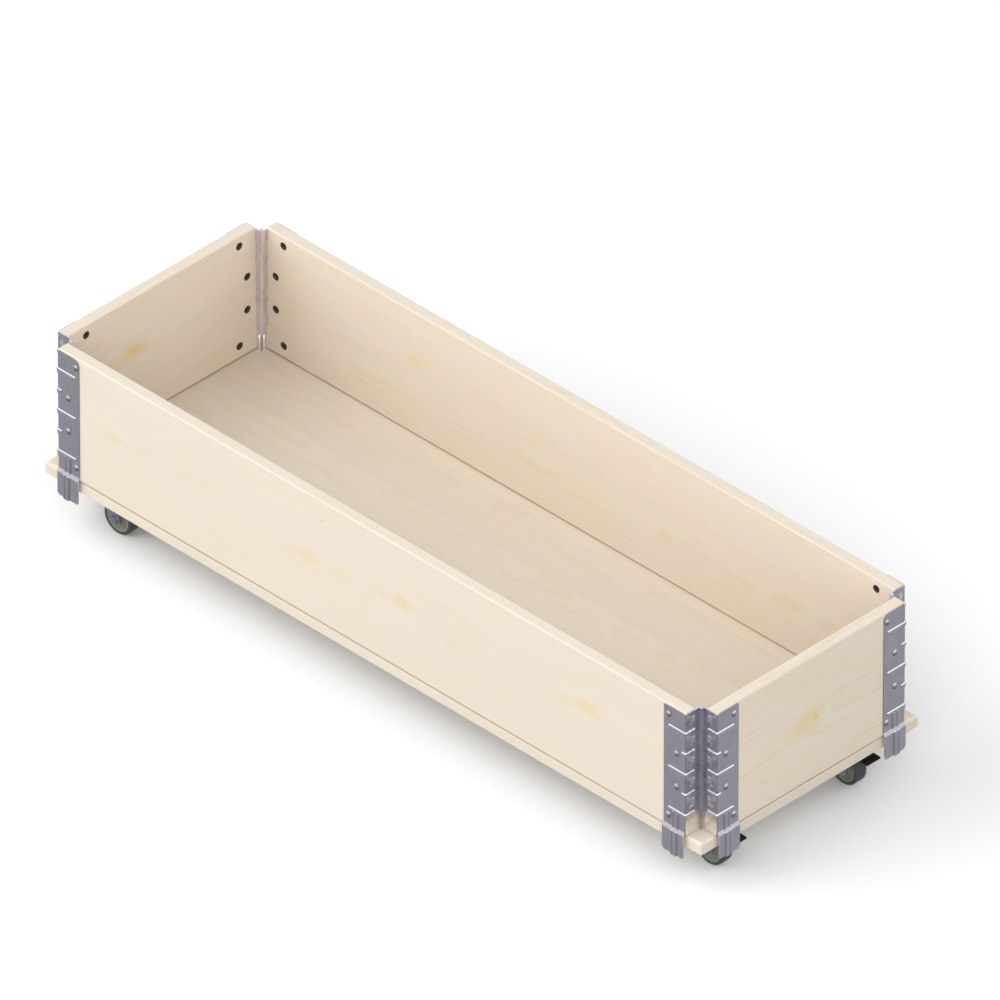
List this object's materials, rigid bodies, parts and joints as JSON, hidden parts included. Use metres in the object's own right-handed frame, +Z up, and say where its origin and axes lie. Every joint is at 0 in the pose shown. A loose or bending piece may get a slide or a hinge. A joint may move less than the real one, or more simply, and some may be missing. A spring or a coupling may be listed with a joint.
{
  "type": "rolling planter",
  "caption": "Long low planter: a hinged timber collar with pressed steel corner hinges, standing on a wooden panel with swivel casters and brake pedals.",
  "frame": {"origin": "on the floor under the middle of the planter", "axes": "+X along the length towards the casters with brakes, +Y towards the back, +Z up"},
  "size_m": [1.212, 0.412, 0.286],
  "materials": {
    "spruce_board": "planed, untreated",
    "spruce_panel": "planed, untreated",
    "galvanised": "galvanised sheet, satin",
    "zinc_plated": "zinc plated, satin",
    "wheel_core": "moulded, matt",
    "tyre_rubber": "smooth",
    "pedal_black": "moulded, fine grain"
  },
  "bodies": {
    "base": {"base_panel": "spruce_panel", "caster_screws": "zinc_plated", "front_left_plate": "zinc_plated", "front_left_kingpin": "zinc_plated", "front_left_balls": "zinc_plated", "front_right_plate": "zinc_plated", "front_right_kingpin": "zinc_plated", "front_right_balls": "zinc_plated", "back_left_plate": "zinc_plated", "back_left_kingpin": "zinc_plated", "back_left_balls": "zinc_plated", "back_right_plate": "zinc_plated", "back_right_kingpin": "zinc_plated", "back_right_balls": "zinc_plated"},
    "collar": {"front_board": "spruce_board", "back_board": "spruce_board", "left_end_board": "spruce_board", "right_end_board": "spruce_board", "rivets": "galvanised", "front_left_long_leaf": "galvanised", "front_left_end_leaf": "galvanised", "front_left_hinge_pin": "galvanised", "front_right_long_leaf": "galvanised", "front_right_end_leaf": "galvanised", "front_right_hinge_pin": "galvanised", "back_left_long_leaf": "galvanised", "back_left_end_leaf": "galvanised", "back_left_hinge_pin": "galvanised", "back_right_long_leaf": "galvanised", "back_right_end_leaf": "galvanised", "back_right_hinge_pin": "galvanised"},
    "front_left_swivel": {"front_left_fork": "zinc_plated", "front_left_axle_bolt": "zinc_plated", "front_left_axle_nut": "zinc_plated", "front_left_axle_sleeve": "zinc_plated"},
    "front_left_wheel": {"front_left_wheel_core": "wheel_core", "front_left_tyre": "tyre_rubber"},
    "front_right_swivel": {"front_right_fork": "zinc_plated", "front_right_axle_bolt": "zinc_plated", "front_right_axle_nut": "zinc_plated", "front_right_axle_sleeve": "zinc_plated", "front_right_brake_pin": "zinc_plated"},
    "front_right_wheel": {"front_right_wheel_core": "wheel_core", "front_right_tyre": "tyre_rubber"},
    "front_right_pedal": {"front_right_brake_pedal": "pedal_black"},
    "back_left_swivel": {"back_left_fork": "zinc_plated", "back_left_axle_bolt": "zinc_plated", "back_left_axle_nut": "zinc_plated", "back_left_axle_sleeve": "zinc_plated"},
    "back_left_wheel": {"back_left_wheel_core": "wheel_core", "back_left_tyre": "tyre_rubber"},
    "back_right_swivel": {"back_right_fork": "zinc_plated", "back_right_axle_bolt": "zinc_plated", "back_right_axle_nut": "zinc_plated", "back_right_axle_sleeve": "zinc_plated", "back_right_brake_pin": "zinc_plated"},
    "back_right_wheel": {"back_right_wheel_core": "wheel_core", "back_right_tyre": "tyre_rubber"},
    "back_right_pedal": {"back_right_brake_pedal": "pedal_black"}
  },
  "joints": [
    {"name": "collar_lift", "type": "slide", "parent": "base", "child": "collar", "axis": [0, 0, 1], "range_m": [0, 0.12]},
    {"name": "front_left_swivel_turn", "type": "hinge", "parent": "base", "child": "front_left_swivel", "pos_m": [-0.528, -0.148, 0.06], "axis": [0, 0, 1], "continuous": true},
    {"name": "front_left_wheel_roll", "type": "hinge", "parent": "front_left_swivel", "child": "front_left_wheel", "pos_m": [-0.508, -0.148, 0.025], "axis": [0, 1, 0], "continuous": true},
    {"name": "front_right_swivel_turn", "type": "hinge", "parent": "base", "child": "front_right_swivel", "pos_m": [0.528, -0.123, 0.06], "axis": [0, 0, 1], "continuous": true},
    {"name": "front_right_wheel_roll", "type": "hinge", "parent": "front_right_swivel", "child": "front_right_wheel", "pos_m": [0.548, -0.123, 0.025], "axis": [0, 1, 0], "continuous": true},
    {"name": "front_right_brake_press", "type": "hinge", "parent": "front_right_swivel", "child": "front_right_pedal", "pos_m": [0.562, -0.123, 0.057], "axis": [0, 1, 0], "range_deg": [0, 12]},
    {"name": "back_left_swivel_turn", "type": "hinge", "parent": "base", "child": "back_left_swivel", "pos_m": [-0.528, 0.148, 0.06], "axis": [0, 0, 1], "continuous": true},
    {"name": "back_left_wheel_roll", "type": "hinge", "parent": "back_left_swivel", "child": "back_left_wheel", "pos_m": [-0.508, 0.148, 0.025], "axis": [0, 1, 0], "continuous": true},
    {"name": "back_right_swivel_turn", "type": "hinge", "parent": "base", "child": "back_right_swivel", "pos_m": [0.528, 0.123, 0.06], "axis": [0, 0, 1], "continuous": true},
    {"name": "back_right_wheel_roll", "type": "hinge", "parent": "back_right_swivel", "child": "back_right_wheel", "pos_m": [0.548, 0.123, 0.025], "axis": [0, 1, 0], "continuous": true},
    {"name": "back_right_brake_press", "type": "hinge", "parent": "back_right_swivel", "child": "back_right_pedal", "pos_m": [0.562, 0.123, 0.057], "axis": [0, 1, 0], "range_deg": [0, 12]}
  ]
}
